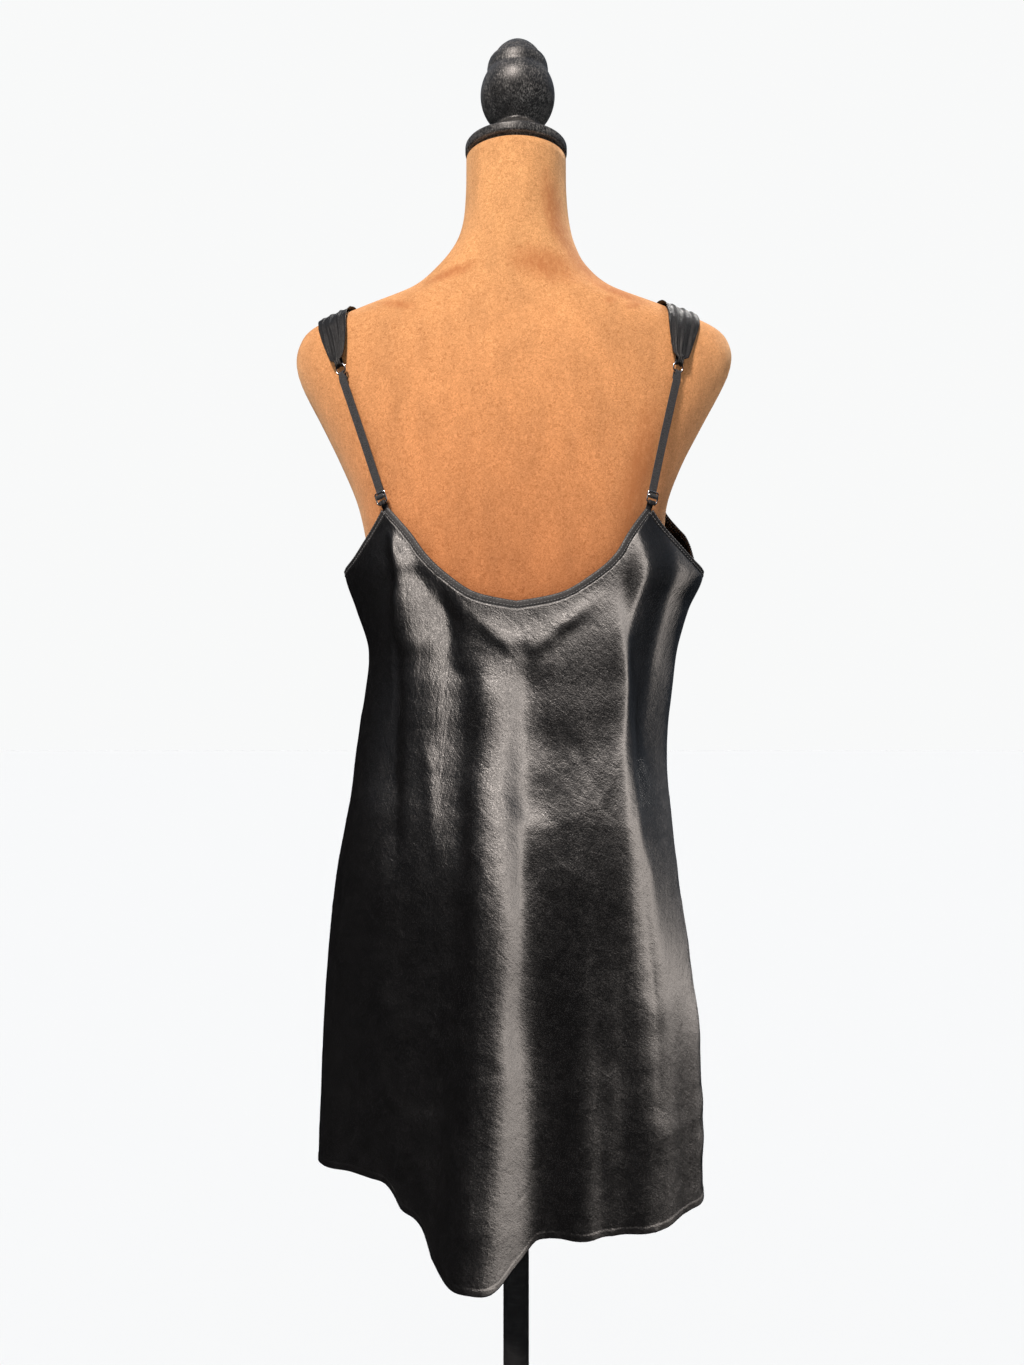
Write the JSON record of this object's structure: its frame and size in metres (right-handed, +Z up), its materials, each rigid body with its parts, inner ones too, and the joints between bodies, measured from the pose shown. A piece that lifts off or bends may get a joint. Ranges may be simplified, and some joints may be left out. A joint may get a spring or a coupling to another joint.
{
  "type": "slip dress on a dress form",
  "caption": "Short satin slip dress with a scooped back and gathered shoulder straps, worn by a limbless form on a round stand.",
  "frame": {"origin": "centre of the stand's underside, on the surface it stands on", "axes": "+Z up; +Y the way the wearer faces, so the dress's back faces -Y; +X the wearer's right"},
  "size_m": [0.4225, 0.3011, 1.6245],
  "materials": {
    "satin": "black satin with a soft lengthwise sheen",
    "elastic": "matt ribbed elastic",
    "silver_metal": "polished",
    "suede": "tan suede cloth with a short brushed nap",
    "black_wood": "black satin paint over turned wood",
    "black_metal": "black satin paint"
  },
  "bodies": {
    "root": {"back_panel": "satin", "front_panel": "satin", "back_neck_binding": "satin", "front_neck_binding": "satin", "armhole_binding_left": "satin", "armhole_binding_right": "satin", "strap_left": "satin", "strap_right": "satin", "upper_ring_left": "silver_metal", "upper_ring_right": "silver_metal", "elastic_left": "elastic", "elastic_right": "elastic", "slider_left": "silver_metal", "slider_right": "silver_metal", "back_loop_left": "satin", "back_loop_right": "satin", "torso": "suede", "neck_disc": "black_wood", "finial": "black_wood", "pole": "black_metal", "base": "black_metal"}
  },
  "joints": []
}
